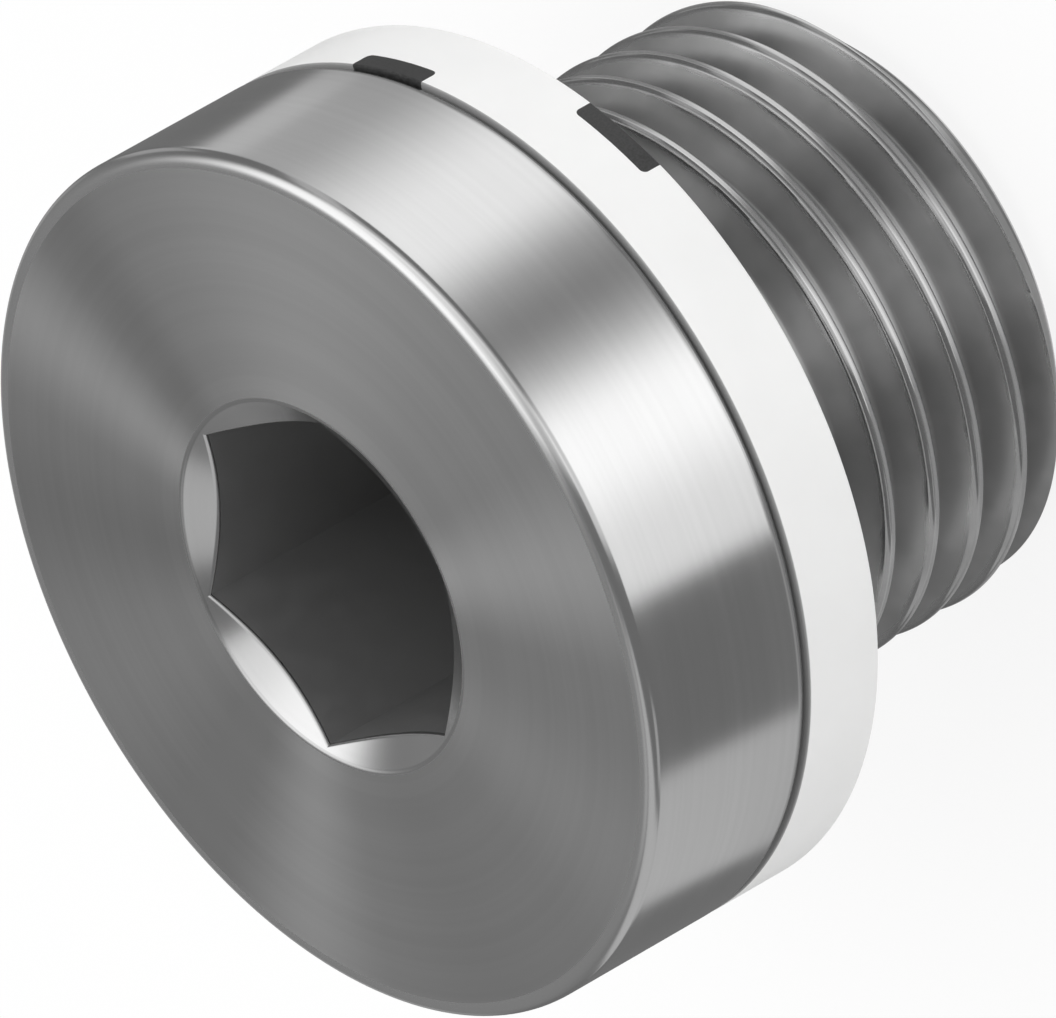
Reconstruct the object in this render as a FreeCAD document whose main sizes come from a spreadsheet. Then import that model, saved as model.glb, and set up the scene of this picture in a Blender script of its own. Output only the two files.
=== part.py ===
import FreeCAD, Part
import os
import Sketcher

# Blanking plug G1/8 with a captive sealing ring, in millimetres and degrees.
# The plug stands on its thread end: that end is at height 0 and the head is up.
# Azimuth 0 is +X, and azimuths grow counter-clockwise seen from the head.

SIZES = [
    ("thread_diameter", 9.728, "major diameter of the G1/8 parallel thread"),
    ("thread_pitch", 0.907, "28 threads per inch"),
    ("flank_angle", 55, "angle between the two flanks of the thread"),
    ("first_groove", 0.0955, "height of the lowest groove's middle at azimuth 0"),
    ("end_chamfer", 0.67, "45 degree chamfer at the thread end"),
    ("shank_length", 7.85, "from the thread end to the seat under the head"),
    ("runout_room", 0.6, "relief neck's width beyond one pitch"),
    ("neck_clearance", 0.18, "how far the neck lies below the thread's root"),
    ("head_height", 3.2, "from the seat to the front face"),
    ("head_edge_radius", 0.2, "rounding of both edges of the head"),
    ("socket_width", 5.0, "hexagon socket, across its flats"),
    ("socket_depth", 5.0, "hexagon socket, from the front face"),
    ("socket_azimuth", 45.9, "azimuth of one corner of the socket"),
    ("countersink_diameter", 6.0, "mouth of the socket's countersink"),
    ("countersink_angle", 120, "whole angle of the countersink"),
    ("drill_diameter", 4.8, "hole drilled before the socket is formed"),
    ("drill_angle", 118, "whole angle of the drill point"),
    ("ring_thickness", 1.4, "sealing ring, along the axis"),
    ("seal_clearance", 0.136, "from the thread's crest to the seal's bore"),
    ("seal_wall", 0.9, "seal, from its bore to the carrier"),
    ("carrier_wall", 1.1, "carrier, from the seal to the rim"),
    ("lip_overlap", 0.25, "how far the lip reaches in past the thread's crest"),
    ("lip_thickness", 0.5, "lip that holds the ring in the relief neck"),
    ("bead_width", 0.6, "sealing bead at its foot"),
    ("bead_height", 0.15, "sealing bead, proud of the ring's thread side"),
    ("lug_count", 2, "lugs on each side of the ring"),
    ("lug_angle", 12.4, "width of a lug, as an angle at the axis"),
    ("lug_depth", 0.35, "depth of a lug along the axis"),
    ("lug_corner_radius", 0.1, "rounding of a lug's inner corners"),
    ("head_lug_azimuth", 60.8, "middle of the first lug on the head side"),
    ("thread_lug_azimuth", 30.85, "middle of the first lug on the thread side"),
]

# Thread form: a sharp triangle with a sixth of its height cut off at the
# crest and a sixth at the root. The crest's rounding is three straight runs:
# a flat, and on each side a run that halves the turn to the flank.
THREAD_RADIUS = "(Sizes.thread_diameter / 2)"
TRIANGLE_HEIGHT = "(Sizes.thread_pitch / 2 / tan(Sizes.flank_angle / 2))"
CUT_OFF = f"({TRIANGLE_HEIGHT} / 6)"
ROOT_RADIUS = f"({THREAD_RADIUS} - {TRIANGLE_HEIGHT} + 2 * {CUT_OFF})"
ROOT_HALF = f"({CUT_OFF} * tan(Sizes.flank_angle / 2))"
CREST_ROUNDING = f"({CUT_OFF} / (1 / sin(Sizes.flank_angle / 2) - 1))"
CREST_TURN = "(90 - Sizes.flank_angle / 2)"
CREST_HALF = f"({CREST_ROUNDING} * tan({CREST_TURN} / 4))"
SHOULDER_HALF = f"({CREST_ROUNDING} * sin({CREST_TURN} * 3 / 4) / cos({CREST_TURN} / 4))"
SHOULDER_DROP = f"({CREST_ROUNDING} * (1 - cos({CREST_TURN} * 3 / 4) / cos({CREST_TURN} / 4)))"

# Heights and radii that several pieces share.
SEAT = "Sizes.shank_length"
FRONT = "(Sizes.shank_length + Sizes.head_height)"
NECK_RADIUS = f"({ROOT_RADIUS} - Sizes.neck_clearance)"
NECK_WIDTH = "(Sizes.thread_pitch + Sizes.runout_room)"
SEAL_BORE_RADIUS = f"({THREAD_RADIUS} + Sizes.seal_clearance)"
LIP_RADIUS = f"({THREAD_RADIUS} - Sizes.lip_overlap)"
CARRIER_BORE_RADIUS = f"({SEAL_BORE_RADIUS} + Sizes.seal_wall)"
RIM_RADIUS = f"({CARRIER_BORE_RADIUS} + Sizes.carrier_wall)"

# A head edge's rounding is this many straight runs, within 0.01 mm of an arc.
EDGE_RUNS = 3

# Two sizes closer than this are the same.
ON_SIZE = 1e-6


def write_sizes(doc):
    """The driving sizes, each with its name and its meaning."""
    sheet = doc.addObject("Spreadsheet::Sheet", "Sizes")
    for row, (name, value, meaning) in enumerate(SIZES, start=1):
        sheet.set(f"A{row}", name)
        sheet.set(f"B{row}", str(value))
        sheet.set(f"C{row}", meaning)
        sheet.setAlias(f"B{row}", name)
    doc.recompute()


def new_body(doc, name, height="0"):
    """A body whose own height 0 stands at the given height of the part."""
    body = doc.addObject("PartDesign::Body", name)
    body.Label = name
    body.Placement = FreeCAD.Placement()
    body.setExpression("Placement.Base.z", height)
    return body


def origin_feature(body, role):
    return [item for item in body.Origin.OriginFeatures if item.Role == role][0]


def outline(body, name, corners, plane="XZ_Plane"):
    """A closed sketch of straight lines, with each corner tied to the sizes."""
    sketch = body.newObject("Sketcher::SketchObject", name)
    sketch.AttachmentSupport = [(origin_feature(body, plane), "")]
    sketch.MapMode = "FlatFace"
    places = [[body.evalExpression(text) for text in corner] for corner in corners]
    points = [FreeCAD.Vector(across, up, 0) for across, up in places]
    for start, end in zip(points, points[1:] + points[:1]):
        sketch.addGeometry(Part.LineSegment(start, end), False)
    for index, (corner, place) in enumerate(zip(corners, places)):
        following = (index + 1) % len(corners)
        sketch.addConstraint(Sketcher.Constraint("Coincident", index, 2, following, 1))
        for kind, text, value in zip(("DistanceX", "DistanceY"), corner, place):
            constraint = Sketcher.Constraint(kind, -1, 1, index, 1, value)
            number = sketch.addConstraint(constraint)
            sketch.setExpression(f"Constraints[{number}]", text)
    return sketch


def turned(body, kind, name, corners):
    """The outline, in radius and height, turned about the axis."""
    sketch = outline(body, name + "_outline", corners)
    feature = body.newObject(kind, name)
    feature.Profile = sketch
    feature.ReferenceAxis = (sketch, ["V_Axis"])
    feature.Angle = 360
    return feature


def sector(body, kind, name, corners, azimuth):
    """A turned feature as wide as a lug, with its middle at the azimuth."""
    feature = turned(body, kind, name, corners)
    feature.Midplane = True
    feature.setExpression("Angle", "Sizes.lug_angle")
    sketch = feature.Profile[0]
    about_axis = FreeCAD.Rotation(FreeCAD.Vector(0, 1, 0), 1)
    sketch.AttachmentOffset = FreeCAD.Placement(FreeCAD.Vector(), about_axis)
    sketch.setExpression("AttachmentOffset.Rotation.Angle", azimuth)
    return feature


def rectangle(inner, outer, bottom, top):
    return [(inner, bottom), (outer, bottom), (outer, top), (inner, top)]


def around_axis(body, name, features):
    """The same features again, evenly spaced about the axis."""
    pattern = body.newObject("PartDesign::PolarPattern", name)
    pattern.Originals = features
    pattern.Axis = (origin_feature(body, "Z_Axis"), [""])
    pattern.Angle = 360
    pattern.setExpression("Occurrences", "Sizes.lug_count")
    body.Tip = pattern


def fillet(body, name, radius, wanted):
    """Rounds the edges of the body so far that the test picks."""
    body.Document.recompute()
    base = body.Tip
    numbered = enumerate(base.Shape.Edges, start=1)
    names = [f"Edge{number}" for number, edge in numbered if wanted(edge)]
    feature = body.newObject("PartDesign::Fillet", name)
    feature.Base = (base, names)
    feature.setExpression("Radius", radius)


def level_line_test(body, heights):
    """Picks the straight edges that lie level at any of the heights."""
    heights = [body.evalExpression(height) for height in heights]

    def wanted(edge):
        if not isinstance(edge.Curve, Part.Line):
            return False
        ends = [vertex.Point.z for vertex in edge.Vertexes]
        return any(all(abs(end - height) < ON_SIZE for end in ends) for height in heights)

    return wanted


def head_edge(face, towards_side):
    """Points on the rounding of a head edge, from the flat face to the side."""
    radius = "min(Sizes.head_edge_radius; Sizes.head_height / 3)"
    points = []
    for run in range(EDGE_RUNS + 1):
        turn = f"{run} * 90 / {EDGE_RUNS}"
        inward = f"{RIM_RADIUS} - {radius} * (1 - sin({turn}))"
        points.append((inward, f"{face} {towards_side} {radius} * (1 - cos({turn}))"))
    return points


def turned_blank(body):
    """The plug as it leaves the lathe, before the socket and the thread."""
    neck_bottom = f"({SEAT} - {NECK_WIDTH})"
    turned(body, "PartDesign::Revolution", "turned_blank", [
        ("0", "0"),
        (f"{THREAD_RADIUS} - Sizes.end_chamfer", "0"),
        (THREAD_RADIUS, "Sizes.end_chamfer"),
        (THREAD_RADIUS, f"{neck_bottom} - ({THREAD_RADIUS} - {NECK_RADIUS})"),
        (NECK_RADIUS, neck_bottom),
        (NECK_RADIUS, SEAT),
        *head_edge(SEAT, "+"),
        *reversed(head_edge(FRONT, "-")),
        ("0", FRONT),
    ])


def hexagon_socket(body):
    """Countersink, hexagon and the point of the drilled hole below it."""
    mouth = "(Sizes.countersink_diameter / 2)"
    tip = f"({FRONT} - {mouth} / tan(Sizes.countersink_angle / 2))"
    turned(body, "PartDesign::Groove", "countersink", [
        ("0", tip),
        (mouth, FRONT),
        ("0", FRONT),
    ])

    corner_radius = "Sizes.socket_width / sqrt(3)"
    corners = []
    for number in range(6):
        azimuth = f"Sizes.socket_azimuth + {number} * 360 / 6"
        corners.append((f"{corner_radius} * cos({azimuth})", f"{corner_radius} * sin({azimuth})"))
    sketch = outline(body, "hexagon_outline", corners, plane="XY_Plane")
    sketch.setExpression("AttachmentOffset.Base.z", FRONT)
    hexagon = body.newObject("PartDesign::Pocket", "hexagon")
    hexagon.Profile = sketch
    hexagon.setExpression("Length", "Sizes.socket_depth")

    drill_radius = "(Sizes.drill_diameter / 2)"
    bottom = f"({FRONT} - Sizes.socket_depth)"
    turned(body, "PartDesign::Groove", "drill_point", [
        ("0", f"{bottom} - {drill_radius} / tan(Sizes.drill_angle / 2)"),
        (drill_radius, bottom),
        ("0", bottom),
    ])


def thread_cut(body):
    """The groove of the right-hand thread, cut by a tool on a helix.

    The tool starts below the end and runs out in the relief neck.
    """
    start = "(Sizes.first_groove - Sizes.thread_pitch)"
    runout = f"({SEAT} - {NECK_WIDTH} / 2)"
    mouth_half = f"(Sizes.thread_pitch / 2 - {CREST_HALF})"
    shoulder_half = f"(Sizes.thread_pitch / 2 - {SHOULDER_HALF})"
    side = [
        (f"{THREAD_RADIUS} + Sizes.seal_clearance / 2", mouth_half),
        (THREAD_RADIUS, mouth_half),
        (f"{THREAD_RADIUS} - {SHOULDER_DROP}", shoulder_half),
        (ROOT_RADIUS, ROOT_HALF),
    ]
    corners = [(radius, f"{start} - {half}") for radius, half in side]
    corners += [(radius, f"{start} + {half}") for radius, half in reversed(side)]
    sketch = outline(body, "thread_tool", corners)
    cut = body.newObject("PartDesign::SubtractiveHelix", "thread")
    cut.Profile = sketch
    cut.ReferenceAxis = (sketch, ["V_Axis"])
    cut.Mode = "pitch-height-angle"
    cut.setExpression("Pitch", "Sizes.thread_pitch")
    cut.setExpression("Height", f"{runout} - {start}")


def make_plug_body(doc):
    body = new_body(doc, "plug_body")
    turned_blank(body)
    hexagon_socket(body)
    thread_cut(body)
    return body


def lug_sections():
    """Radius and height outlines of a lug on the head side and one on the other."""
    inner = f"{CARRIER_BORE_RADIUS} - Sizes.seal_wall / 2"
    top = "Sizes.ring_thickness"
    head_side = rectangle(inner, RIM_RADIUS, f"{top} - Sizes.lug_depth", top)
    thread_side = rectangle(inner, RIM_RADIUS, "0", "Sizes.lug_depth")
    return head_side, thread_side


def with_lugs(body, kind, word):
    """Adds the lugs to the seal, or cuts their notches in the carrier."""
    head_side, thread_side = lug_sections()
    features = [
        sector(body, kind, "head_side_" + word, head_side, "Sizes.head_lug_azimuth"),
        sector(body, kind, "thread_side_" + word, thread_side, "Sizes.thread_lug_azimuth"),
    ]
    around_axis(body, "all_" + word + "s", features)
    floors = ["Sizes.ring_thickness - Sizes.lug_depth", "Sizes.lug_depth"]
    radius = "min(Sizes.lug_corner_radius; Sizes.lug_depth / 2)"
    fillet(body, word + "_corners", radius, level_line_test(body, floors))


def make_ring_carrier(doc):
    body = new_body(doc, "ring_carrier", f"{SEAT} - Sizes.ring_thickness")
    section = rectangle(CARRIER_BORE_RADIUS, RIM_RADIUS, "0", "Sizes.ring_thickness")
    turned(body, "PartDesign::Revolution", "carrier_ring", section)
    with_lugs(body, "PartDesign::Groove", "notch")
    return body


def make_ring_seal(doc):
    """The moulded seal: a sealing bead, a lip into the neck, and the lugs."""
    body = new_body(doc, "ring_seal", f"{SEAT} - Sizes.ring_thickness")
    bead_outer = f"{SEAL_BORE_RADIUS} + Sizes.bead_width"
    lip_bottom = "Sizes.ring_thickness - Sizes.lip_thickness"
    turned(body, "PartDesign::Revolution", "seal_ring", [
        (SEAL_BORE_RADIUS, "0"),
        (f"{SEAL_BORE_RADIUS} + Sizes.bead_height", "-Sizes.bead_height"),
        (f"{bead_outer} - Sizes.bead_height", "-Sizes.bead_height"),
        (bead_outer, "0"),
        (CARRIER_BORE_RADIUS, "0"),
        (CARRIER_BORE_RADIUS, "Sizes.ring_thickness"),
        (LIP_RADIUS, "Sizes.ring_thickness"),
        (LIP_RADIUS, lip_bottom),
        (SEAL_BORE_RADIUS, lip_bottom),
    ])
    with_lugs(body, "PartDesign::Revolution", "lug")
    return body


def check(doc, bodies):
    """Stops if any feature failed or any body isn't one valid solid."""
    failed = [item.Name for item in doc.Objects if {"Invalid", "Error"} & set(item.State)]
    if failed:
        raise RuntimeError("features failed: " + ", ".join(failed))
    for body in bodies:
        shape = body.Shape
        if shape.isNull() or not shape.isValid() or len(shape.Solids) != 1:
            raise RuntimeError("not one valid solid: " + body.Label)
        print(body.Label, "volume", round(shape.Volume, 3), "mm3")


def main():
    doc = FreeCAD.newDocument("blanking_plug")
    write_sizes(doc)
    bodies = [make_plug_body(doc), make_ring_carrier(doc), make_ring_seal(doc)]
    doc.recompute()
    check(doc, bodies)
    os.makedirs("parts", exist_ok=True)
    for body in bodies:
        body.Shape.exportStep(f"parts/{body.Label}.step")


main()
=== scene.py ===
import math

import bmesh
import bpy
from mathutils import Matrix, Vector


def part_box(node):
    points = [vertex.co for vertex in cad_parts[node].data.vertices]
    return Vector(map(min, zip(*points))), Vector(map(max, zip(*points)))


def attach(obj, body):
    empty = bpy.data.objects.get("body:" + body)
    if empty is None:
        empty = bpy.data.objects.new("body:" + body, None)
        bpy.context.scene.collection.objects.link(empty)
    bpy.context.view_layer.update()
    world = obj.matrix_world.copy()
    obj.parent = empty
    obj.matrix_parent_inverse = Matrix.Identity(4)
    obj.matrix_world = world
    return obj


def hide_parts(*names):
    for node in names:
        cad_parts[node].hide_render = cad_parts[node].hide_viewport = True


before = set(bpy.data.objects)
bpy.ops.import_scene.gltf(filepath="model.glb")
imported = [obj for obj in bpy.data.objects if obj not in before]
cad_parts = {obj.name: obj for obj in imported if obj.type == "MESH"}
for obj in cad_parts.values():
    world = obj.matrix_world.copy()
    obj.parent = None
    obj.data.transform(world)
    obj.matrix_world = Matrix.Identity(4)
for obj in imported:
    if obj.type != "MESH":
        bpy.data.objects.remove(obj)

# Lengths are in millimetres, and MM turns them to metres. Angles are written
# in degrees.
MM = 0.001
DEGREES = 180 / math.pi
SAME_PLACE = 0.0001
SAME_HEIGHT = 1e-9
PLACE_DIGITS = 5

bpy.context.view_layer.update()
PLUG_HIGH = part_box("plug_body")[1] / MM
CARRIER_LOW, CARRIER_HIGH = (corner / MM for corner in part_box("ring_carrier"))
SEAL_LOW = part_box("ring_seal")[0] / MM

# What the frame gives of the plug: its rim, its front face and its seat.
RIM_RADIUS = round(PLUG_HIGH.x, 3)
FRONT = round(PLUG_HIGH.z, 3)
SEAT = round(CARRIER_HIGH.z, 3)
RING_BOTTOM = round(CARRIER_LOW.z, 3)
BEAD_BOTTOM = round(SEAL_LOW.z, 3)

# The parallel pipe thread, right-hand.
THREAD_RADIUS = 4.864
PITCH = 0.907
HALF_FLANK = math.radians(55 / 2)
FIRST_GROOVE = 0.0955
END_CHAMFER = 0.67
NECK_CLEARANCE = 0.18
RUNOUT_ROOM = 0.6

HEAD_EDGE_RADIUS = 0.2
BACK_EDGE_RADIUS = 0.25
FACE_EDGE_WIDTH = 0.28
FACE_EDGE_POWER = 2.3
SOCKET_SIDES = 6
SOCKET_WIDTH = 5.0
SOCKET_DEPTH = 5.0
SOCKET_AZIMUTH = 45.9
COUNTERSINK_RADIUS = 3.0
COUNTERSINK_SLOPE = math.radians(30)
MOUTH_ROUNDING = 0.16
MOUTH_REACH = MOUTH_ROUNDING * math.tan(COUNTERSINK_SLOPE / 2)
LIP_ROUNDING = 0.05
DRILL_RADIUS = 2.4
DRILL_SLOPE = math.radians(31)

SEAL_BORE = THREAD_RADIUS + 0.136
CARRIER_BORE = SEAL_BORE + 0.9
LIP_RADIUS = THREAD_RADIUS - 0.25
LIP_THICKNESS = 0.5
BEAD_WIDTH = 0.6
RING_EDGE_RADIUS = 0.03
LUG_ANGLE = 12.4
LUG_DEPTH = 0.35
LUG_CORNER_RADIUS = 0.1
HEAD_LUG_AZIMUTH = 60.8
THREAD_LUG_AZIMUTH = 30.85
LUG_COUNT = 2

# How far the lugs reach into the seal's ring, and how far the blocks that cut
# them out reach into the bore, past the rim and past the ring's faces.
LUG_ROOT = 0.2
BLOCK_INWARD = 0.3
BLOCK_OUTWARD = 0.4
BLOCK_PAST = 0.3

# A face of the ring is a turned one where its normal leans outward by more than
# the first share, and across by less than the second.
TURNED_OUTWARD = 0.02
TURNED_ACROSS = 0.05

# Columns of vertices round the axis. A whole number of them fits each flat of
# the socket, and the first one stands at a corner of it.
COLUMNS = 240
COLUMN_AZIMUTHS = [
    math.radians(SOCKET_AZIMUTH + 360 * number / COLUMNS) for number in range(COLUMNS + 1)
]

# The finishes of the plug, by the number of the material on its faces.
TURNED_FINISH, FACED_FINISH, THREAD_FINISH, SOCKET_FINISH = range(4)

# The photograph's camera, in a picture of 1056 by 1018 pixels.
IMAGE_WIDTH = 1056
SENSOR_WIDTH = 36.0
CAMERA_ELEVATION = math.radians(34.063)
CAMERA_ROLL = math.radians(-119.563)
CAMERA_DISTANCE = 497.7
CAMERA_SHIFT = (3.0358, 1.1454)
PIXELS_PER_MM = 68.123
CAMERA_REACH = 10000.0


def add_object(name, data):
    made = bpy.data.objects.new(name, data)
    bpy.context.scene.collection.objects.link(made)
    return made


class Skin:
    """A mesh in the making, whose face corners carry their own normals."""

    def __init__(self):
        self.points = []
        self.numbers = {}
        self.faces = []
        self.normals = []
        self.finishes = []
        self.finish = TURNED_FINISH

    def number(self, point):
        key = tuple(round(value, PLACE_DIGITS) for value in point)
        if key not in self.numbers:
            self.numbers[key] = len(self.points)
            self.points.append(point)
        return self.numbers[key]

    def face(self, corners, normals):
        kept = []
        for point, normal in zip(corners, normals):
            number = self.number(point)
            if number not in [known for known, _ in kept]:
                kept.append((number, normal))
        if len(kept) > 2:
            self.faces.append([number for number, _ in kept])
            self.finishes.append(self.finish)
            self.normals.extend(normal for _, normal in kept)

    def piece(self, name):
        mesh = bpy.data.meshes.new(name)
        scaled = [tuple(value * MM for value in point) for point in self.points]
        mesh.from_pydata(scaled, [], self.faces)
        mesh.shade_smooth()
        mesh.polygons.foreach_set("material_index", self.finishes)
        mesh.normals_split_custom_set([Vector(normal).normalized() for normal in self.normals])
        return add_object(name, mesh)


def around(radius, height, azimuth):
    return (radius * math.cos(azimuth), radius * math.sin(azimuth), height)


def arc(center, radius, first, last, steps):
    """Points and normals on an arc of a section, in radius and height."""
    run = []
    for step in range(steps + 1):
        angle = math.radians(first + (last - first) * step / steps)
        normal = (math.cos(angle), math.sin(angle))
        point = (center[0] + radius * normal[0], center[1] + radius * normal[1])
        run.append((point, normal))
    return run


def straight(start, end):
    """A straight run of a section, with its normal to the right of the way."""
    along = (end[0] - start[0], end[1] - start[1])
    length = math.hypot(*along)
    normal = (along[1] / length, -along[0] / length)
    return [(start, normal), (end, normal)]


def face_edge():
    """The worn edge of the front face, from the side up to the flat."""
    steps = 12
    run = []
    for step in range(steps + 1):
        angle = math.radians(90 * step / steps)
        across = math.cos(angle) ** (2 / FACE_EDGE_POWER)
        up = math.sin(angle) ** (2 / FACE_EDGE_POWER)
        point = (
            RIM_RADIUS - FACE_EDGE_WIDTH * (1 - across),
            FRONT - HEAD_EDGE_RADIUS * (1 - up),
        )
        normal = Vector((
            across ** (FACE_EDGE_POWER - 1) / FACE_EDGE_WIDTH,
            up ** (FACE_EDGE_POWER - 1) / HEAD_EDGE_RADIUS,
        )).normalized()
        run.append((point, tuple(normal)))
    return run


def turn(skin, runs):
    """Turns runs of a section about the axis. Outward is right of the way."""
    for run in runs:
        for (low, low_normal), (high, high_normal) in zip(run, run[1:]):
            for left, right in zip(COLUMN_AZIMUTHS, COLUMN_AZIMUTHS[1:]):
                places = ((low, left), (low, right), (high, right), (high, left))
                corners = [around(*point, azimuth) for point, azimuth in places]
                slopes = (
                    (low_normal, left), (low_normal, right),
                    (high_normal, right), (high_normal, left),
                )
                skin.face(corners, [around(*normal, azimuth) for normal, azimuth in slopes])


class Thread:
    """The thread's surface as a radius over azimuth and height.

    Its section is a sharp triangle with a sixth of its height rounded off at the
    crest, and a sixth at the root.
    """

    triangle = PITCH / 2 / math.tan(HALF_FLANK)
    cut_off = triangle / 6
    root = THREAD_RADIUS - triangle + 2 * cut_off
    rounding = cut_off / (1 / math.sin(HALF_FLANK) - 1)
    arc_half = rounding * math.cos(HALF_FLANK)
    neck = root - NECK_CLEARANCE
    end_radius = THREAD_RADIUS - END_CHAMFER
    top = SEAT - PITCH - RUNOUT_ROOM
    cone_bottom = top - (THREAD_RADIUS - neck)

    @classmethod
    def offset(cls, azimuth, height):
        """Distance along the axis from the middle of the nearest groove."""
        groove = FIRST_GROOVE + PITCH * azimuth / math.tau
        return (height - groove + PITCH / 2) % PITCH - PITCH / 2

    @classmethod
    def thread(cls, azimuth, height):
        """Radius of the threaded surface, and its slope along the axis."""
        offset = cls.offset(azimuth, height)
        away = abs(offset)
        side = math.copysign(1, offset)
        if away < cls.arc_half:
            drop = math.sqrt(cls.rounding ** 2 - away ** 2)
            return cls.root + cls.rounding - drop, side * away / drop
        to_crest = PITCH / 2 - away
        if to_crest < cls.arc_half:
            rise = math.sqrt(cls.rounding ** 2 - to_crest ** 2)
            return THREAD_RADIUS - cls.rounding + rise, side * to_crest / rise
        start = cls.root + cls.rounding * (1 - math.sin(HALF_FLANK))
        slope = 1 / math.tan(HALF_FLANK)
        return start + (away - cls.arc_half) * slope, side * slope

    @classmethod
    def blank(cls, height):
        """Radius of the blank before the thread is cut, and its slope."""
        if height < END_CHAMFER:
            return cls.end_radius + height, 1
        if height > cls.cone_bottom:
            return THREAD_RADIUS - (height - cls.cone_bottom), -1
        return THREAD_RADIUS, 0

    @classmethod
    def excess(cls, azimuth, height):
        return cls.thread(azimuth, height)[0] - cls.blank(height)[0]

    @classmethod
    def row_offsets(cls):
        """Offsets of the rows in one pitch, closer on the roundings."""
        crest_steps, root_steps, flank_steps = 12, 8, 3
        turn_half = math.pi / 2 - HALF_FLANK
        root = [
            cls.rounding * math.sin(turn_half * (2 * step / root_steps - 1))
            for step in range(root_steps + 1)
        ]
        flank_end = PITCH / 2 - cls.arc_half
        flank = [
            cls.arc_half + (flank_end - cls.arc_half) * step / flank_steps
            for step in range(1, flank_steps)
        ]
        crest = [
            PITCH / 2 + cls.rounding * math.sin(turn_half * (2 * step / crest_steps - 1))
            for step in range(crest_steps + 1)
        ]
        return root + flank + crest + [PITCH - offset for offset in reversed(flank)]

    @classmethod
    def crease(cls, azimuth, low, high):
        """Height at which the thread's surface meets the blank's, if it does."""
        excess = cls.excess(azimuth, low)
        if high - low < SAME_HEIGHT or excess * cls.excess(azimuth, high) >= 0:
            return None
        halvings = 40
        for _ in range(halvings):
            middle = (low + high) / 2
            if cls.excess(azimuth, middle) * excess > 0:
                low = middle
            else:
                high = middle
        return low

    @classmethod
    def column(cls, azimuth):
        """Heights of one column's points, and which of them lie on a crease.

        A crease is where the thread's surface meets the blank's. The nearest
        point of the column moves onto it.
        """
        lowest_turn, spare_turns = -3, 5
        turns = math.ceil(cls.top / PITCH) + spare_turns
        groove = FIRST_GROOVE + PITCH * azimuth / math.tau
        heights = [
            min(max(groove + PITCH * (lowest_turn + number) + offset, 0), cls.top)
            for number in range(turns) for offset in cls.row_offsets()
        ]
        creases = [False] * len(heights)
        for number in range(len(heights) - 1):
            low, high = heights[number], heights[number + 1]
            crease = None if creases[number] else cls.crease(azimuth, low, high)
            if crease is None:
                continue
            nearest, other = number, number + 1
            if crease - low >= high - crease:
                nearest, other = other, nearest
            if not 0 < heights[nearest] < cls.top:
                nearest = other
            heights[nearest] = crease
            creases[nearest] = True
        return heights, creases


def thread_normal(azimuth, height, radius):
    slope = Thread.thread(azimuth, height)[1]
    outward = Vector(around(1, -slope, azimuth))
    across = Vector(around(1, 0, azimuth + math.pi / 2))
    return outward + across * slope * PITCH / math.tau / radius


def blank_normal(azimuth, height):
    return Vector(around(1, -Thread.blank(height)[1], azimuth))


def add_thread(skin):
    """The threaded shank between the end face and the relief neck."""
    columns = []
    for azimuth in COLUMN_AZIMUTHS:
        heights, creases = Thread.column(azimuth)
        column = []
        for height, crease in zip(heights, creases):
            excess = Thread.excess(azimuth, height)
            radius = min(Thread.thread(azimuth, height)[0], Thread.blank(height)[0])
            kind = 0 if crease else int(math.copysign(1, excess))
            column.append((azimuth, height, radius, kind))
        columns.append(column)
    for left, right in zip(columns, columns[1:]):
        for row in range(len(left) - 1):
            corners = (left[row], right[row], right[row + 1], left[row + 1])
            first = corners[0][3] == 0 and corners[2][3] == 0
            second = corners[1][3] == 0 and corners[3][3] == 0
            if second and not first:
                triangles = ((0, 1, 3), (1, 2, 3))
            else:
                triangles = ((0, 1, 2), (0, 2, 3))
            for triangle in triangles:
                chosen = [corners[number] for number in triangle]
                add_shank_triangle(skin, chosen)


def add_shank_triangle(skin, corners):
    kinds = [kind for _, _, _, kind in corners]
    if max(kinds) > 0 and min(kinds) >= 0:
        on_blank = True
    elif min(kinds) < 0 and max(kinds) <= 0:
        on_blank = False
    else:
        azimuth = sum(corner[0] for corner in corners) / 3
        height = sum(corner[1] for corner in corners) / 3
        on_blank = Thread.excess(azimuth, height) > 0
    points = [around(radius, height, azimuth) for azimuth, height, radius, _ in corners]
    if on_blank:
        middle = sum(height for _, height, _, _ in corners) / 3
        normals = [blank_normal(azimuth, middle) for azimuth, _, _, _ in corners]
    else:
        normals = [
            thread_normal(azimuth, height, radius) for azimuth, height, radius, _ in corners
        ]
    skin.face(points, normals)


def slope_normal(slope, azimuth):
    """Normal of a hollow cone that falls towards the axis."""
    return Vector(around(-math.sin(slope), math.cos(slope), azimuth))


def add_mouth(skin):
    """The small rounding where the front face turns into the countersink."""
    center = (COUNTERSINK_RADIUS + MOUTH_REACH, FRONT - MOUTH_ROUNDING)
    slope = math.degrees(COUNTERSINK_SLOPE)
    run = arc(center, MOUTH_ROUNDING, 90, 90 + slope, steps=4)
    turn(skin, [run])
    return run[-1][0]


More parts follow.
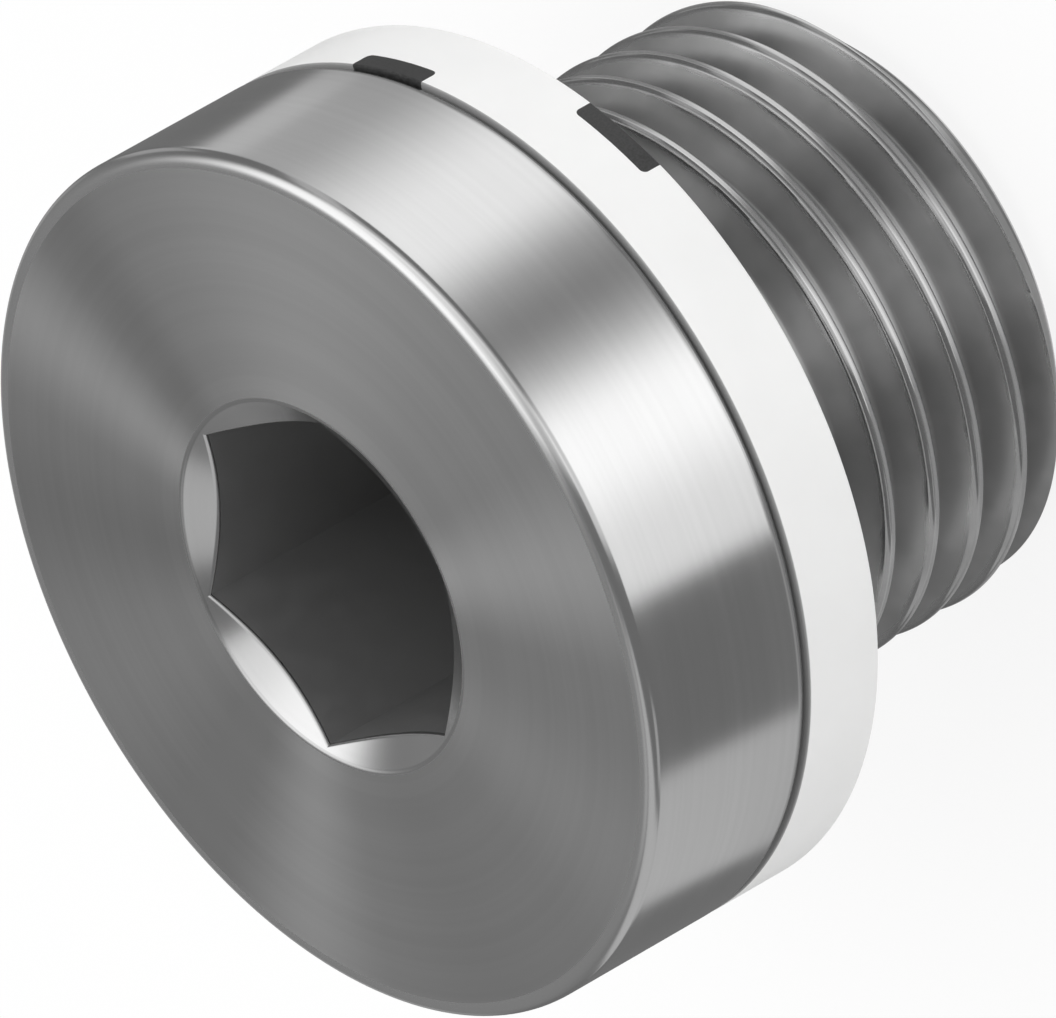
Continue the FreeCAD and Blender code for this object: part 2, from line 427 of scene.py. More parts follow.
def add_socket(skin, mouth):
    """Countersink, hexagon walls, and the drilled bottom."""
    bottom = FRONT - SOCKET_DEPTH
    side_angle = 360 / SOCKET_SIDES
    up = Vector((0, 0, 1))
    for number in range(COLUMNS):
        sides = (COLUMN_AZIMUTHS[number], COLUMN_AZIMUTHS[number + 1])
        side = number * SOCKET_SIDES // COLUMNS
        facing = math.radians(SOCKET_AZIMUTH + side_angle * side + side_angle / 2)
        wall_normal = Vector(around(-1, 0, facing))
        columns = [socket_column(azimuth, facing, wall_normal) for azimuth in sides]
        cones = [slope_normal(COUNTERSINK_SLOPE, azimuth) for azimuth in sides]
        rims = [around(*mouth, azimuth) for azimuth in sides]
        skin.finish = TURNED_FINISH
        add_strip(skin, rims, cones, [column[0][0] for column in columns], cones)
        rows = list(zip(*columns))
        for low, high in zip(rows, rows[1:]):
            add_strip(
                skin, [point for point, _ in low], [normal for _, normal in low],
                [point for point, _ in high], [normal for _, normal in high],
            )
        skin.finish = SOCKET_FINISH
        lips = [column[-1][0] for column in columns]
        feet = [(x, y, bottom) for x, y, _ in lips]
        add_strip(skin, lips, [wall_normal] * 2, feet, [wall_normal] * 2)
        drill = [around(DRILL_RADIUS, bottom, azimuth) for azimuth in sides]
        add_strip(skin, feet, [up] * 2, drill, [up] * 2)
        tip = (0, 0, bottom - DRILL_RADIUS * math.tan(DRILL_SLOPE))
        slopes = [slope_normal(DRILL_SLOPE, azimuth) for azimuth in sides]
        skin.face([*drill, tip], [*slopes, up])


def add_strip(skin, near, near_normals, far, far_normals):
    skin.face(
        [near[0], near[1], far[1], far[0]],
        [near_normals[0], near_normals[1], far_normals[1], far_normals[0]],
    )


def socket_column(azimuth, facing, wall_normal):
    """Points and normals of the rounded lip between countersink and flat."""
    radius = SOCKET_WIDTH / 2 / math.cos(azimuth - facing)
    height = FRONT - (COUNTERSINK_RADIUS - radius) * math.tan(COUNTERSINK_SLOPE)
    cone = slope_normal(COUNTERSINK_SLOPE, azimuth)
    steps = 4
    column = []
    for step in range(steps + 1):
        share = step / steps
        up_cone = LIP_ROUNDING * (1 - share) ** 2
        down_wall = LIP_ROUNDING * share ** 2
        point = around(
            radius + up_cone * math.cos(COUNTERSINK_SLOPE),
            height + up_cone * math.sin(COUNTERSINK_SLOPE) - down_wall,
            azimuth,
        )
        column.append((point, cone.slerp(wall_normal, share)))
    return column


def make_plug():
    """The turned plug: end face, thread, neck, head and socket."""
    skin = Skin()
    edge = BACK_EDGE_RADIUS
    skin.finish = FACED_FINISH
    turn(skin, [straight((0, 0), (Thread.end_radius, 0))])
    skin.finish = THREAD_FINISH
    add_thread(skin)
    skin.finish = TURNED_FINISH
    turn(skin, [
        straight((Thread.neck, Thread.top), (Thread.neck, SEAT)),
        straight((Thread.neck, SEAT), (RIM_RADIUS - edge, SEAT)),
        arc((RIM_RADIUS - edge, SEAT + edge), edge, -90, 0, steps=8),
        straight((RIM_RADIUS, SEAT + edge), (RIM_RADIUS, FRONT - HEAD_EDGE_RADIUS)),
        face_edge(),
    ])
    skin.finish = FACED_FINISH
    mouth_start = (COUNTERSINK_RADIUS + MOUTH_REACH, FRONT)
    turn(skin, [straight((RIM_RADIUS - FACE_EDGE_WIDTH, FRONT), mouth_start)])
    skin.finish = TURNED_FINISH
    add_socket(skin, add_mouth(skin))
    return skin.piece("turned_plug")


def ring_section(inner, outer):
    """Runs of a ring's section, with small roundings at its outer edges."""
    edge = RING_EDGE_RADIUS
    return [
        straight((inner, RING_BOTTOM), (outer - edge, RING_BOTTOM)),
        arc((outer - edge, RING_BOTTOM + edge), edge, -90, 0, steps=3),
        straight((outer, RING_BOTTOM + edge), (outer, SEAT - edge)),
        arc((outer - edge, SEAT - edge), edge, 0, 90, steps=3),
        straight((outer - edge, SEAT), (inner, SEAT)),
        straight((inner, SEAT), (inner, RING_BOTTOM)),
    ]


def lug_outline(floor, mouth):
    """Outline of a lug's block, as azimuths and heights, with its two corners."""
    half = math.radians(LUG_ANGLE / 2)
    rounding = LUG_CORNER_RADIUS
    turn_width = rounding / RIM_RADIUS
    inward = math.copysign(1, mouth - floor)
    steps = 6
    outline = [(-half, mouth)]
    for step in range(steps + 1):
        angle = math.radians(90 * step / steps)
        outline.append((
            -half + turn_width * (1 - math.cos(angle)),
            floor + inward * rounding * (1 - math.sin(angle)),
        ))
    outline += [(-place, height) for place, height in reversed(outline)]
    if inward < 0:
        outline.reverse()
    return outline


def lug_block(azimuth, floor, mouth):
    """A block from inside the carrier's bore to past its rim, as wide as a lug."""
    middle = math.radians(azimuth)
    outline = lug_outline(floor, mouth)
    points = [
        around(radius, height, middle + place)
        for radius in (CARRIER_BORE - BLOCK_INWARD, RIM_RADIUS + BLOCK_OUTWARD)
        for place, height in outline
    ]
    count = len(outline)
    faces = [list(range(count - 1, -1, -1)), list(range(count, 2 * count))]
    for number in range(count):
        following = (number + 1) % count
        faces.append([number, following, count + following, count + number])
    mesh = bpy.data.meshes.new("lug_block")
    mesh.from_pydata([tuple(value * MM for value in point) for point in points], [], faces)
    return add_object("lug_block", mesh)


def lug_blocks():
    """Blocks for the lugs at the head side and at the thread side."""
    sides = (
        (HEAD_LUG_AZIMUTH, SEAT - LUG_DEPTH, SEAT + BLOCK_PAST),
        (THREAD_LUG_AZIMUTH, RING_BOTTOM + LUG_DEPTH, RING_BOTTOM - BLOCK_PAST),
    )
    return [
        lug_block(azimuth + 360 / LUG_COUNT * number, floor, mouth)
        for number in range(LUG_COUNT) for azimuth, floor, mouth in sides
    ]


def combine(piece, other, operation):
    """Applies a boolean with the other object to the piece's mesh."""
    modifier = piece.modifiers.new("combine", "BOOLEAN")
    modifier.operation = operation
    modifier.object = other
    modifier.solver = "EXACT"
    depsgraph = bpy.context.evaluated_depsgraph_get()
    mesh = bpy.data.meshes.new_from_object(piece.evaluated_get(depsgraph))
    piece.modifiers.clear()
    piece.data = mesh
    closed = bmesh.new()
    closed.from_mesh(mesh)
    bmesh.ops.remove_doubles(closed, verts=closed.verts, dist=SAME_PLACE * MM)
    bmesh.ops.dissolve_degenerate(closed, edges=closed.edges, dist=SAME_PLACE * MM)
    closed.to_mesh(mesh)
    closed.free()


def remove(*objects):
    for item in objects:
        bpy.data.objects.remove(item)


def smooth_ring(piece):
    """Gives each face corner the normal of the turned surface it lies on."""
    mesh = piece.data
    mesh.shade_smooth()
    normals = []
    for polygon in mesh.polygons:
        flat = Vector(polygon.normal)
        for number in polygon.vertices:
            place = mesh.vertices[number].co
            outward = Vector((place.x, place.y, 0)).normalized()
            radial = flat.dot(outward)
            across = flat - outward * radial
            across.z = 0
            if abs(radial) > TURNED_OUTWARD and across.length < TURNED_ACROSS:
                normals.append((outward * radial + Vector((0, 0, flat.z))).normalized())
            else:
                normals.append(flat)
    mesh.normals_split_custom_set(normals)


def make_carrier(blocks):
    skin = Skin()
    turn(skin, ring_section(CARRIER_BORE, RIM_RADIUS))
    carrier = skin.piece("pale_carrier")
    for block in blocks:
        combine(carrier, block, "DIFFERENCE")
    smooth_ring(carrier)
    return carrier


def make_seal(blocks):
    """The seal's ring with its bead and lip, joined with the lugs."""
    skin = Skin()
    bead = RING_BOTTOM - BEAD_BOTTOM
    outer_foot = SEAL_BORE + BEAD_WIDTH
    lip_bottom = SEAT - LIP_THICKNESS
    turn(skin, [
        straight((SEAL_BORE, RING_BOTTOM), (SEAL_BORE + bead, BEAD_BOTTOM)),
        straight((SEAL_BORE + bead, BEAD_BOTTOM), (outer_foot - bead, BEAD_BOTTOM)),
        straight((outer_foot - bead, BEAD_BOTTOM), (outer_foot, RING_BOTTOM)),
        straight((outer_foot, RING_BOTTOM), (CARRIER_BORE, RING_BOTTOM)),
        straight((CARRIER_BORE, RING_BOTTOM), (CARRIER_BORE, SEAT)),
        straight((CARRIER_BORE, SEAT), (LIP_RADIUS, SEAT)),
        straight((LIP_RADIUS, SEAT), (LIP_RADIUS, lip_bottom)),
        straight((LIP_RADIUS, lip_bottom), (SEAL_BORE, lip_bottom)),
        straight((SEAL_BORE, lip_bottom), (SEAL_BORE, RING_BOTTOM)),
    ])
    seal = skin.piece("rubber_seal")
    for block in blocks:
        full = Skin()
        turn(full, ring_section(CARRIER_BORE - LUG_ROOT, RIM_RADIUS))
        lug = full.piece("lug")
        combine(lug, block, "INTERSECT")
        combine(seal, lug, "UNION")
        remove(lug)
    smooth_ring(seal)
    return seal


class Nodes:
    """Short calls for building a node tree."""

    def __init__(self, tree):
        self.tree = tree
        self.nodes = tree.nodes
        self.nodes.clear()

    def add(self, kind, **values):
        node = self.nodes.new(kind)
        for name, value in values.items():
            setattr(node, name, value)
        return node

    def link(self, source, target):
        self.tree.links.new(source, target)

    def put(self, socket, value):
        if isinstance(value, bpy.types.NodeSocket):
            self.link(value, socket)
        else:
            socket.default_value = value

    def math(self, operation, *values):
        node = self.add("ShaderNodeMath", operation=operation)
        for socket, value in zip(node.inputs, values):
            self.put(socket, value)
        return node.outputs[0]

    def remap(self, value, low, high, to_low=0.0, to_high=1.0, smooth=True):
        node = self.add("ShaderNodeMapRange")
        node.interpolation_type = "SMOOTHSTEP" if smooth else "LINEAR"
        for name, item in (
            ("Value", value), ("From Min", low), ("From Max", high),
            ("To Min", to_low), ("To Max", to_high),
        ):
            self.put(node.inputs[name], item)
        return node.outputs["Result"]

    def noise(self, vector, scale, detail=2.0, roughness=0.5):
        node = self.add("ShaderNodeTexNoise")
        self.put(node.inputs["Vector"], vector)
        self.put(node.inputs["Scale"], scale)
        self.put(node.inputs["Detail"], detail)
        self.put(node.inputs["Roughness"], roughness)
        return node.outputs["Fac"]

    def spread(self, noise, low=0.0, high=1.0):
        """Spreads a noise, which keeps near its middle, over a range of values."""
        least, most = 0.3, 0.7
        return self.remap(noise, least, most, low, high)

    def combine(self, *values):
        node = self.add("ShaderNodeCombineXYZ")
        for socket, value in zip(node.inputs, values):
            self.put(socket, value)
        return node.outputs[0]

    def separate(self, vector):
        node = self.add("ShaderNodeSeparateXYZ")
        self.link(vector, node.inputs[0])
        return node.outputs

    def place(self):
        """The point on the object in millimetres, whole and as x, y and z."""
        coordinates = self.add("ShaderNodeTexCoord")
        scaled = self.add("ShaderNodeVectorMath", operation="SCALE")
        self.link(coordinates.outputs["Object"], scaled.inputs[0])
        scaled.inputs["Scale"].default_value = 1 / MM
        return scaled.outputs[0], self.separate(scaled.outputs[0])

    def radius(self, x, y):
        squares = self.math("ADD", self.math("MULTIPLY", x, x), self.math("MULTIPLY", y, y))
        return self.math("SQRT", squares)

    def azimuth(self, x, y):
        return self.math("MULTIPLY", self.math("ARCTAN2", y, x), DEGREES)

    def away(self, angle, middle):
        """How far an angle lies from another one, up to half a turn each way."""
        half_turn = 180.0
        offset = self.math("SUBTRACT", angle, float(middle))
        return self.math("WRAP", offset, half_turn, -half_turn)

    def mix_shaders(self, share, first, second):
        node = self.add("ShaderNodeMixShader")
        for socket, source in zip(node.inputs, (share, first, second)):
            self.link(source, socket)
        return node.outputs[0]


def empty_material(name):
    """A material, its nodes, and the socket that takes its surface."""
    material = bpy.data.materials.new(name)
    material.use_nodes = True
    nodes = Nodes(material.node_tree)
    output = nodes.add("ShaderNodeOutputMaterial")
    return material, nodes, output.inputs["Surface"]


def new_material(name):
    material, nodes, surface = empty_material(name)
    shader = nodes.add("ShaderNodeBsdfPrincipled")
    nodes.link(shader.outputs[0], surface)
    return material, nodes, shader


def grey(level):
    return (level, level, level)


def colour_between(nodes, factor, low, high):
    """Mixes two colours, each of them three numbers or a socket."""
    mix = nodes.add("ShaderNodeMix", data_type="RGBA")
    colour_sockets, mixed = mix.inputs[6:8], mix.outputs[2]
    nodes.put(mix.inputs[0], factor)
    for socket, colour in zip(colour_sockets, (low, high)):
        nodes.put(socket, colour if isinstance(colour, bpy.types.NodeSocket) else (*colour, 1))
    return mixed


GRAIN_HEIGHT = 0.01
DULL_PLATE, BRIGHT_PLATE = grey(0.45), grey(0.95)
STAINED_METALLIC = 0.88

# Painted shade bands in the plating's colour: darker where the head's back edge meets the ring,
# and a dark line round the socket's mouth.
# They are given as heights over the seat on the back edge of the head, and distances from the
# circle of the socket's mouth, with soft ends.
BACK_SHADE_BAND = (0.11, 0.14, 0.18, 0.21)
BACK_PAINTED_SHADE = 0.4
MOUTH_SHADE_BAND = (0.02, 0.05)
MOUTH_PAINTED_SHADE = 0.35

# Painted sheen: paler and darker fans painted into the front face's colour, standing in for the
# fan-shaped reflections of its facing cut: azimuth, half width and strength of each.
FACE_PAINTED_SHEEN = [
    (-160, 26, -0.27), (-138, 17, 0.3), (-105, 30, -0.1), (-58, 22, 0.22), (-15, 17, 0.56),
    (55, 45, 0.32), (100, 12, -0.16), (120, 15, 0.53), (150, 20, -0.22),
]


def raise_grain(nodes, shader, height, strength):
    """Makes a fine grain stand out of the surface."""
    bump = nodes.add("ShaderNodeBump")
    bump.inputs["Strength"].default_value = strength
    bump.inputs["Distance"].default_value = GRAIN_HEIGHT * MM
    nodes.link(height, bump.inputs["Height"])
    nodes.link(bump.outputs[0], shader.inputs["Normal"])


def painted_band_shade(nodes, radius, z):
    """How much painted shade darkens the plating on the back edge and at the socket's mouth."""
    start, full, fading, end = (SEAT + height for height in BACK_SHADE_BAND)
    back = nodes.remap(z, end, fading, 0.0, BACK_PAINTED_SHADE)
    back = nodes.math("MULTIPLY", back, nodes.remap(z, start, full))
    near, far = MOUTH_SHADE_BAND
    from_mouth = nodes.math("ABSOLUTE", nodes.math("SUBTRACT", radius, COUNTERSINK_RADIUS))
    mouth = nodes.remap(from_mouth, far, near, 0.0, MOUTH_PAINTED_SHADE)
    mouth = nodes.math("MULTIPLY", mouth, nodes.math("GREATER_THAN", z, SEAT))
    return nodes.math("ADD", back, mouth)


def turned_metal(name, roughness, anisotropic, marks, plain=0.49, painted_sheen=()):
    """Plated metal with fine turning marks that run round the axis, with painted shade bands on
    the back edge and at the socket's mouth, and any painted sheen fans that are given.
    """
    material, nodes, shader = new_material(name)
    _, (x, y, z) = nodes.place()
    radius = nodes.radius(x, y)
    section = nodes.combine(radius, z, 0.0)
    fine = nodes.noise(section, scale=9.0, detail=3.0, roughness=0.55)
    broad = nodes.noise(section, scale=1.8)
    marked = nodes.math("ADD", fine, broad)
    low, high, uneven = 0.7, 1.3, 0.025
    tone = nodes.remap(marked, low, high, plain - uneven, plain + uneven)
    azimuth = nodes.azimuth(x, y)
    # Painted sheen: paler and darker fans of colour by azimuth, standing in for reflections.
    for middle, half, strength in painted_sheen:
        away = nodes.math("ABSOLUTE", nodes.away(azimuth, middle))
        tone = nodes.math("ADD", tone, nodes.remap(away, half, 0.0, 0.0, strength))
    # Painted shade: darker bands on the back edge of the head and round the socket's mouth.
    tone = nodes.math("SUBTRACT", tone, painted_band_shade(nodes, radius, z))
    colour = colour_between(nodes, tone, DULL_PLATE, BRIGHT_PLATE)
    nodes.link(colour, shader.inputs["Base Color"])
    shader.inputs["Metallic"].default_value = 1.0
    wander = 0.04 * roughness
    rough = nodes.spread(broad, roughness - wander, roughness + wander)
    nodes.link(rough, shader.inputs["Roughness"])
    shader.inputs["Anisotropic"].default_value = anisotropic
    shader.inputs["Anisotropic Rotation"].default_value = 0.25
    tangent = nodes.add("ShaderNodeTangent", direction_type="RADIAL", axis="Z")
    nodes.link(tangent.outputs[0], shader.inputs["Tangent"])
    raise_grain(nodes, shader, nodes.noise(section, scale=5.0, detail=1.0), marks)
    return material


def thread_metal():
    """Plated metal, smoother towards the crests, painted darker all over as shade in the
    grooves with random stain-like clouds, and with a painted highlight along the crests.
    """
    shaded_dark, shaded_pale, painted_crest_highlight = grey(0.41), grey(0.47), grey(0.6)
    groove_roughness, crest_roughness = 0.3, 0.08
    smooth_start, smooth_full = THREAD_RADIUS - 0.144, THREAD_RADIUS - 0.014
    highlight_start, highlight_full = THREAD_RADIUS - 0.014, THREAD_RADIUS - 0.002
    uneven = 0.03
    material, nodes, shader = new_material("thread_metal")
    place, (x, y, _) = nodes.place()
    radius = nodes.radius(x, y)
    cloud = nodes.noise(place, scale=1.1)
    # Painted shade: the whole thread is darker than the head's plating, with random stain-like
    # clouds.
    stained_and_shaded = colour_between(nodes, nodes.remap(cloud, 0.35, 0.65), shaded_dark, shaded_pale)
    # Painted highlight: a brighter colour along the crests.
    crest_highlight_share = nodes.remap(radius, highlight_start, highlight_full)
    colour = colour_between(nodes, crest_highlight_share, stained_and_shaded, painted_crest_highlight)
    nodes.link(colour, shader.inputs["Base Color"])
    shader.inputs["Metallic"].default_value = STAINED_METALLIC
    height = nodes.math("ADD", radius, nodes.spread(cloud, -uneven, uneven))
    polish = nodes.remap(height, smooth_start, smooth_full)
    rough = nodes.remap(polish, 0.0, 1.0, groove_roughness, crest_roughness)
    nodes.link(rough, shader.inputs["Roughness"])
    return material


def socket_metal():
    """Pressed flats, duller than the turned faces, with painted shade that makes them darker
    with depth.
    """
    painted_deep_shade, high = grey(0.26), grey(0.54)
    material, nodes, shader = new_material("socket_metal")
    place, (_, _, z) = nodes.place()
    # Painted shade: the flats darken towards the bottom of the socket.
    depth_shade_share = nodes.remap(z, FRONT - SOCKET_DEPTH, FRONT, smooth=False)
    nodes.link(colour_between(nodes, depth_shade_share, painted_deep_shade, high), shader.inputs["Base Color"])
    shader.inputs["Metallic"].default_value = STAINED_METALLIC
    rough = nodes.spread(nodes.noise(place, scale=3.0), 0.42, 0.48)
    nodes.link(rough, shader.inputs["Roughness"])
    return material


def plug_materials():
    """The plug's materials, in the order of its finishes."""
    return [
        turned_metal("turned_metal", roughness=0.2, anisotropic=0.4, marks=0.01),
        turned_metal(
            "faced_metal", roughness=0.29, anisotropic=0.45, marks=0.008, plain=0.25,
            painted_sheen=FACE_PAINTED_SHEEN,
        ),
        thread_metal(),
        socket_metal(),
    ]


def pale_plastic():
    """Moulded pale plastic with a fine matt grain, and painted shade on its top face in the
    crevice where the head presses.
    """
    shaded, clear, painted_crevice_shade = (0.87, 0.87, 0.865), (0.89, 0.89, 0.885), grey(0.3)
    crevice_shade_start, crevice_shade_full = SEAT - 0.03, SEAT - 0.01
    material, nodes, shader = new_material("pale_plastic")
    place, (_, _, z) = nodes.place()
    cloud = nodes.noise(place, scale=0.6)
    open_colour = colour_between(nodes, nodes.spread(cloud), shaded, clear)
    # Painted shade: the ring's top face turns dark in the crevice under the head.
    crevice_shade_share = nodes.remap(z, crevice_shade_start, crevice_shade_full)
    colour = colour_between(nodes, crevice_shade_share, open_colour, painted_crevice_shade)
    nodes.link(colour, shader.inputs["Base Color"])
    grain = nodes.noise(place, scale=30.0, detail=3.0, roughness=0.6)
    nodes.link(nodes.spread(grain, 0.42, 0.55), shader.inputs["Roughness"])
    shader.inputs["Specular IOR Level"].default_value = 0.4
    raise_grain(nodes, shader, grain, 0.05)
    return material


def black_rubber():
    """Moulded black rubber, matt with a faint grain."""
    material, nodes, shader = new_material("black_rubber")
    place, _ = nodes.place()
    grain = nodes.noise(place, scale=22.0, detail=4.0, roughness=0.6)
    colour = colour_between(nodes, nodes.spread(grain), grey(0.02), grey(0.045))
    nodes.link(colour, shader.inputs["Base Color"])
    nodes.link(nodes.spread(grain, 0.4, 0.6), shader.inputs["Roughness"])
    raise_grain(nodes, shader, grain, 0.1)
    return material


def dress(piece, node, materials):
    for material in materials:
        piece.data.materials.append(material)
    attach(piece, "root")
    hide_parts(node)


# The studio. The world is white where it is seen and even where it lights.
SEEN_WHITE = 1.0
EVEN_LIGHT = 0.72
FLOOR_HALF = 4000.0
FLOOR_DEPTH = 0.02
FLOOR_PAINT = 0.97
FLOOR_GLOW_SHARE = 0.86
LAMP_SIZE = 500.0
LAMP_POWER = 1.5
LAMP_AZIMUTH = math.radians(40)
LAMP_ELEVATION = math.radians(60)
LAMP_DISTANCE = 600.0

# The metal mirrors a grey tent and a grey mat round the plug, with soft pale
# cards on both. The cards are given as seen from a point in the head: azimuths
# from and to, the softness of those two edges, elevations from and to, their
# softness, and the level that a card adds.
TENT_LEVEL = 0.18
SEEN_FROM_HEIGHT = 9.45
MAT_HEIGHT = 0.02
MAT_BORE = 4.25
MAT_MIDDLE = 10.0
MAT_RADIUS = 40.0
TENT_RADIUS = 250.0
TENT_STEPS = 12

MAT_CARDS = [
    (-114, -75, 5, 5, -31, 5, 6, 0.37),
    (-114, -75, 10, 10, -90, -31, 6, 0.16),
    (-35, 15, 5, 30, -31, 5, 6, 0.84),
    (-14, 10, 18, 14, -31, 5, 6, 0.38),
    (30, 116, 20, 5, -31, 5, 6, 0.3),
    (42, 76, 16, 34, -31, 5, 6, 0.67),
    (104, 117, 4, 5, -31, 5, 6, 0.12),
    (-80, 30, 20, 20, -90, -31, 6, 0.16),
    (-24, 8, 16, 22, -62, -31, 8, 0.46),
    (-24, 8, 16, 22, -50, -31, 8, 0.36),
    (38, 72, 16, 20, -62, -31, 6, 0.75),
    (64, 116, 10, 5, -62, -31, 6, 0.08),
    (16, 44, 10, 10, -90, -62, 4, 0.3),
    (146, 204, 14, 14, -17, 5, 6, 0.2),
]

TENT_CARDS = [
    (-131, -88, 5, 5, -14, 70, 8, 0.37),
    (-80, -60, 5, 5, -18, 6, 6, 0.28),
    (-160, -138, 8, 8, 45, 72, 10, 0.22),
    (-24, 12, 10, 12, -30, 34, 8, 0.62),
    (-8, 92, 12, 10, 18, 46, 14, 0.3),
    (-8, 160, 12, 20, 37, 100, 20, 0.45),
    (40, 158, 50, 20, 40, 100, 14, 0.35),
    (95, 150, 30, 20, 44, 76, 14, 0.4),
    (152, 178, 20, 10, 51, 100, 12, 0.95),
    (140, 220, 40, 40, 5, 60, 20, 0.09),
    (74, 90, 6, 6, -30, 20, 8, 0.36),
    (118, 136, 8, 4, -30, 10, 8, 0.24),
    (146, 204, 14, 14, -30, 2, 6, 0.2),
]


def card_window(nodes, value, start, end, start_soft, end_soft):
    """One inside a card and nothing outside it, with soft edges."""
    offset = nodes.away(value, (start + end) / 2)
    half = (end - start) / 2
    return nodes.math(
        "MULTIPLY",
        nodes.remap(offset, -half - start_soft / 2, -half + start_soft / 2),
        nodes.remap(offset, half + end_soft / 2, half - end_soft / 2),
    )


def tent_level(nodes, cards):
    """How bright the tent is at a point, from the cards that lie there."""
    place, _ = nodes.place()
    from_head = nodes.add("ShaderNodeVectorMath", operation="SUBTRACT")
    nodes.link(place, from_head.inputs[0])
    from_head.inputs[1].default_value = (0, 0, SEEN_FROM_HEIGHT)
    way = nodes.add("ShaderNodeVectorMath", operation="NORMALIZE")
    nodes.link(from_head.outputs[0], way.inputs[0])
    x, y, z = nodes.separate(way.outputs[0])
    azimuth = nodes.azimuth(x, y)
    elevation = nodes.math("MULTIPLY", nodes.math("ARCSINE", z), DEGREES)
    level = TENT_LEVEL
    for start, end, start_soft, end_soft, low, high, soft, strength in cards:
        wide = card_window(nodes, azimuth, start, end, start_soft, end_soft)
        tall = card_window(nodes, elevation, low, high, soft, soft)
        card = nodes.math("MULTIPLY", nodes.math("MULTIPLY", wide, tall), strength)
        level = nodes.math("ADD", card, level)
    return level


def build_tent_part(name, profile, cards):
    """A turned part of the tent, which only reflections see."""
    skin = Skin()
    upward = (0, 1)
    for inner, outer in zip(profile, profile[1:]):
        turn(skin, [[(inner, upward), (outer, upward)]])
    tent = skin.piece(name)
    material, nodes, surface = empty_material(name)
    glow = nodes.add("ShaderNodeEmission")
    nodes.link(tent_level(nodes, cards), glow.inputs["Strength"])
    nodes.link(glow.outputs[0], surface)
    tent.data.materials.append(material)
    tent.visible_camera = False
    tent.visible_diffuse = False
    tent.visible_transmission = False
    tent.visible_volume_scatter = False
    tent.visible_shadow = False


def build_tent():
    mat = [(radius, MAT_HEIGHT) for radius in (MAT_BORE, MAT_MIDDLE, MAT_RADIUS)]
    build_tent_part("studio_mat", mat, MAT_CARDS)
    tent = [(radius, MAT_HEIGHT) for radius in (MAT_RADIUS, TENT_RADIUS)]
    for step in range(1, TENT_STEPS + 1):
        angle = math.radians(90 * step / TENT_STEPS)
        tent.append((TENT_RADIUS * math.cos(angle), TENT_RADIUS * math.sin(angle)))
    build_tent_part("studio_tent", tent, TENT_CARDS)


def seen_directly(nodes):
    """One for camera, mirrored and refracted rays."""
    path = nodes.add("ShaderNodeLightPath")
    glossy = nodes.math("MAXIMUM", path.outputs["Is Camera Ray"], path.outputs["Is Glossy Ray"])
    return nodes.math("MAXIMUM", glossy, path.outputs["Is Transmission Ray"])


def white_background(nodes, strength):
    background = nodes.add("ShaderNodeBackground")
    background.inputs["Color"].default_value = (1, 1, 1, 1)
    background.inputs["Strength"].default_value = strength
    return background.outputs[0]


def build_world():
    """A white background, and an even soft light from all round."""
    world = bpy.data.worlds.new("studio")
    bpy.context.scene.world = world
    world.use_nodes = True
    nodes = Nodes(world.node_tree)
    even = white_background(nodes, EVEN_LIGHT)
    white = white_background(nodes, SEEN_WHITE)
    output = nodes.add("ShaderNodeOutputWorld")
    seen = nodes.mix_shaders(seen_directly(nodes), even, white)
    nodes.link(seen, output.inputs["Surface"])


def floor_white():
    """White paint that glows a little where it is seen, and clear from below."""
    material, nodes, surface = empty_material("floor_white")
    diffuse = nodes.add("ShaderNodeBsdfDiffuse")
    diffuse.inputs["Color"].default_value = (*grey(FLOOR_PAINT), 1)
    glow = nodes.add("ShaderNodeEmission")
    glow.inputs["Strength"].default_value = SEEN_WHITE
    share = nodes.math("MULTIPLY", seen_directly(nodes), FLOOR_GLOW_SHARE)
    seen = nodes.mix_shaders(share, diffuse.outputs[0], glow.outputs[0])
    below = nodes.add("ShaderNodeNewGeometry").outputs["Backfacing"]
    clear = nodes.add("ShaderNodeBsdfTransparent").outputs[0]
    nodes.link(nodes.mix_shaders(below, seen, clear), surface)
    return material


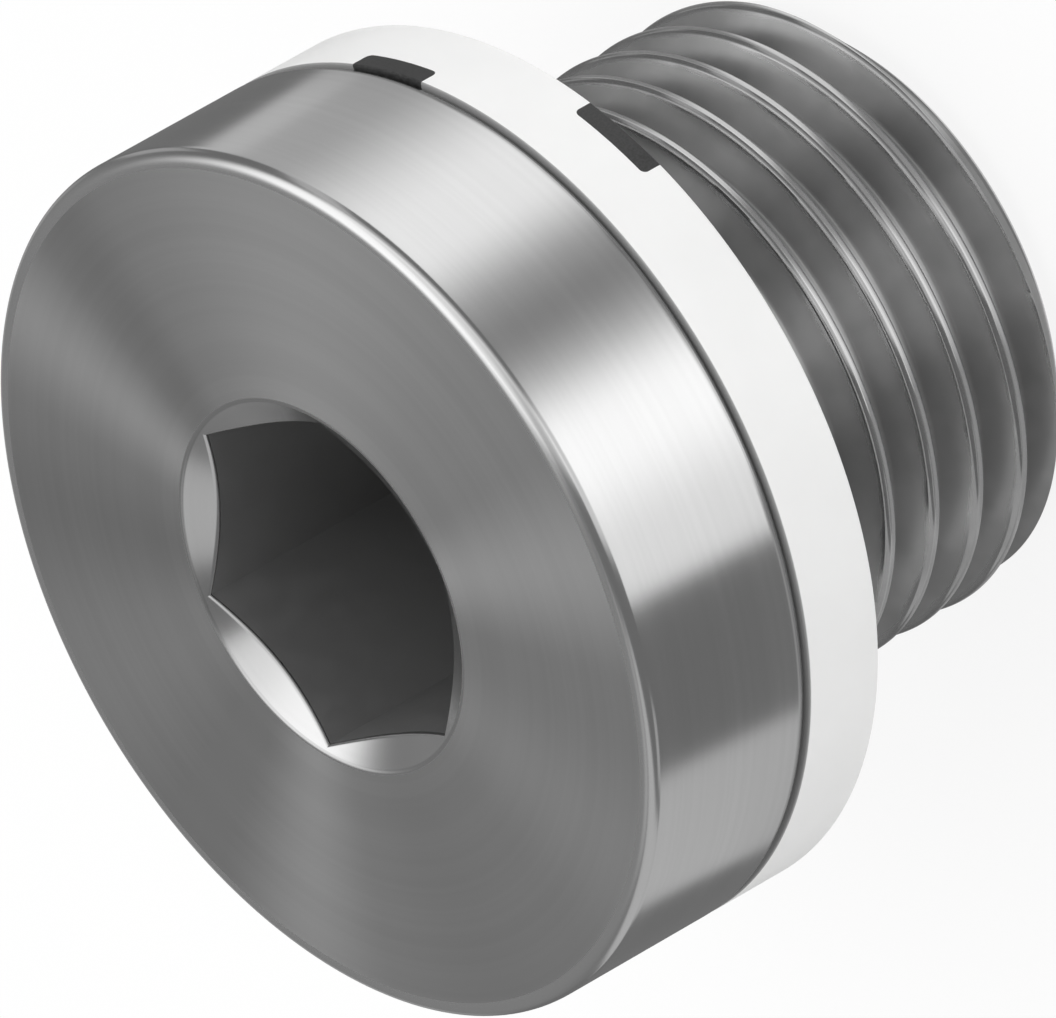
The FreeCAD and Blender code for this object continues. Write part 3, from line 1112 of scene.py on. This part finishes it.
def build_floor():
    """A plain white floor that keeps a soft shadow of the plug.

    It shows from above only, and lies a hair under the plug's end face.
    """
    half, low = FLOOR_HALF * MM, -FLOOR_DEPTH * MM
    corners = [(-half, -half, low), (half, -half, low), (half, half, low), (-half, half, low)]
    mesh = bpy.data.meshes.new("floor")
    mesh.from_pydata(corners, [], [(0, 1, 2, 3)])
    mesh.materials.append(floor_white())
    add_object("floor", mesh)


def build_lamp():
    """One broad soft lamp above, for the shadow and the shape of the ring."""
    light = bpy.data.lights.new("soft_lamp", "AREA")
    light.shape = "DISK"
    light.size = LAMP_SIZE * MM
    light.energy = LAMP_POWER
    lamp = add_object("soft_lamp", light)
    reach = LAMP_DISTANCE * math.cos(LAMP_ELEVATION)
    height = LAMP_DISTANCE * math.sin(LAMP_ELEVATION)
    lamp.location = Vector(around(reach, height, LAMP_AZIMUTH)) * MM
    lamp.rotation_euler = lamp.location.to_track_quat("Z", "Y").to_euler()
    lamp.visible_glossy = False


def build_camera():
    """The photograph's view: from above the head, and rolled."""
    back = Vector((math.cos(CAMERA_ELEVATION), 0, math.sin(CAMERA_ELEVATION)))
    level_right = Vector((0, 1, 0))
    level_up = back.cross(level_right)
    cosine, sine = math.cos(CAMERA_ROLL), math.sin(CAMERA_ROLL)
    right = level_right * cosine + level_up * sine
    up = level_up * cosine - level_right * sine
    target = Vector((0, 0, FRONT))
    place = target + back * CAMERA_DISTANCE + right * CAMERA_SHIFT[0] + up * CAMERA_SHIFT[1]
    data = bpy.data.cameras.new("camera")
    data.sensor_width = SENSOR_WIDTH
    data.lens = PIXELS_PER_MM * CAMERA_DISTANCE * SENSOR_WIDTH / IMAGE_WIDTH
    data.clip_end = CAMERA_REACH * MM
    camera = add_object("camera", data)
    turned = Matrix((right, up, back)).transposed().to_4x4()
    camera.matrix_world = Matrix.Translation(place * MM) @ turned
    bpy.context.scene.camera = camera


def main():
    bpy.context.scene.view_settings.view_transform = "Standard"
    blocks = lug_blocks()
    dress(make_plug(), "plug_body", plug_materials())
    dress(make_carrier(blocks), "ring_carrier", [pale_plastic()])
    dress(make_seal(blocks), "ring_seal", [black_rubber()])
    remove(*blocks)
    build_world()
    build_floor()
    build_tent()
    build_lamp()
    build_camera()


main()
